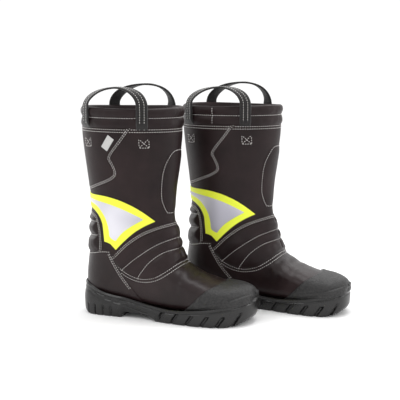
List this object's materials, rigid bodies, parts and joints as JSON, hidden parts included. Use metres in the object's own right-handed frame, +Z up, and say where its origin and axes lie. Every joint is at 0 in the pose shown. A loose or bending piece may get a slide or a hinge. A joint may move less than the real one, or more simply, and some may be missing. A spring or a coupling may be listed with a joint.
{
  "type": "firefighter pull-on boots",
  "caption": "Pair of black leather firefighter's pull-on boots with padded collars, pull loops, lime and silver ankle wings, rubber toe caps and lugged soles.",
  "frame": {"origin": "on the floor, under the middle of the standing pair", "axes": "+X towards the toes, +Y towards the left boot, which stands ahead of and beside the right one, +Z up"},
  "size_m": [0.444, 0.2806, 0.3988],
  "materials": {
    "leather": "full-grain leather, satin, waxed",
    "rubber": "moulded rubber, matt with a textured toe",
    "steel": "stamped steel",
    "board": "pressed fibre board",
    "footbed": "cushioned insole with a fabric top",
    "lining": "quilted insulating lining",
    "lime_trim": "fluorescent lime-yellow trim",
    "silver_trim": "silver retroreflective film",
    "label": "woven patch, blank",
    "strap": "doubled black strap, edge stitched"
  },
  "bodies": {
    "right_foot": {"right_outsole": "rubber", "right_shank": "steel", "right_insole_board": "board", "right_puncture_plate": "steel", "right_footbed": "footbed", "right_toe_cap": "steel", "right_heel_stiffener": "board", "right_lining": "lining", "right_vamp": "leather", "right_toe_bumper": "rubber", "right_heel_counter": "leather", "right_instep_flex_panel": "leather", "right_rear_flex_panel": "leather"},
    "right_shaft": {"right_shaft_panel": "leather", "right_back_panel": "leather", "right_shin_pad": "leather", "right_reflective_band": "lime_trim", "right_silver_strip": "silver_trim", "right_collar": "leather", "right_label": "label", "right_outer_strap_front_tail": "strap", "right_outer_strap_rear_tail": "strap", "right_inner_strap_front_tail": "strap", "right_inner_strap_rear_tail": "strap"},
    "right_outer_strap": {"right_outer_pull_strap": "strap"},
    "right_inner_strap": {"right_inner_pull_strap": "strap"},
    "left_foot": {"left_outsole": "rubber", "left_shank": "steel", "left_insole_board": "board", "left_puncture_plate": "steel", "left_footbed": "footbed", "left_toe_cap": "steel", "left_heel_stiffener": "board", "left_lining": "lining", "left_vamp": "leather", "left_toe_bumper": "rubber", "left_heel_counter": "leather", "left_instep_flex_panel": "leather", "left_rear_flex_panel": "leather"},
    "left_shaft": {"left_shaft_panel": "leather", "left_back_panel": "leather", "left_shin_pad": "leather", "left_reflective_band": "lime_trim", "left_silver_strip": "silver_trim", "left_collar": "leather", "left_label": "label", "left_outer_strap_front_tail": "strap", "left_outer_strap_rear_tail": "strap", "left_inner_strap_front_tail": "strap", "left_inner_strap_rear_tail": "strap"},
    "left_outer_strap": {"left_outer_pull_strap": "strap"},
    "left_inner_strap": {"left_inner_pull_strap": "strap"}
  },
  "joints": [
    {"name": "right_ankle_flex", "type": "hinge", "parent": "right_foot", "child": "right_shaft", "pos_m": [-0.147, -0.069, 0.111], "axis": [0, 1, 0], "range_deg": [0, 12], "stiffness_Nm_per_rad": 6, "deforming": ["right_lining", "right_instep_flex_panel", "right_rear_flex_panel"]},
    {"name": "right_outer_strap_swing", "type": "hinge", "parent": "right_shaft", "child": "right_outer_strap", "pos_m": [-0.13875, -0.1283, 0.328], "axis": [0.9974, -0.0726, 0], "range_deg": [0, 95], "stiffness_Nm_per_rad": 0.05},
    {"name": "right_inner_strap_swing", "type": "hinge", "parent": "right_shaft", "child": "right_inner_strap", "pos_m": [-0.13875, -0.0097, 0.328], "axis": [-0.9974, -0.0726, 0], "range_deg": [0, 95], "stiffness_Nm_per_rad": 0.05},
    {"name": "left_ankle_flex", "type": "hinge", "parent": "left_foot", "child": "left_shaft", "pos_m": [-0.015, 0.069, 0.111], "axis": [0, 1, 0], "range_deg": [0, 12], "stiffness_Nm_per_rad": 6, "deforming": ["left_lining", "left_instep_flex_panel", "left_rear_flex_panel"]},
    {"name": "left_outer_strap_swing", "type": "hinge", "parent": "left_shaft", "child": "left_outer_strap", "pos_m": [-0.00675, 0.1283, 0.328], "axis": [-0.9974, -0.0726, 0], "range_deg": [0, 95], "stiffness_Nm_per_rad": 0.05},
    {"name": "left_inner_strap_swing", "type": "hinge", "parent": "left_shaft", "child": "left_inner_strap", "pos_m": [-0.00675, 0.0097, 0.328], "axis": [0.9974, -0.0726, 0], "range_deg": [0, 50], "stiffness_Nm_per_rad": 0.05},
    {"name": "left_boot_lift", "type": "slide", "parent": "right_foot", "child": "left_foot", "axis": [0, 0, 1], "range_m": [0, 0.45]}
  ]
}
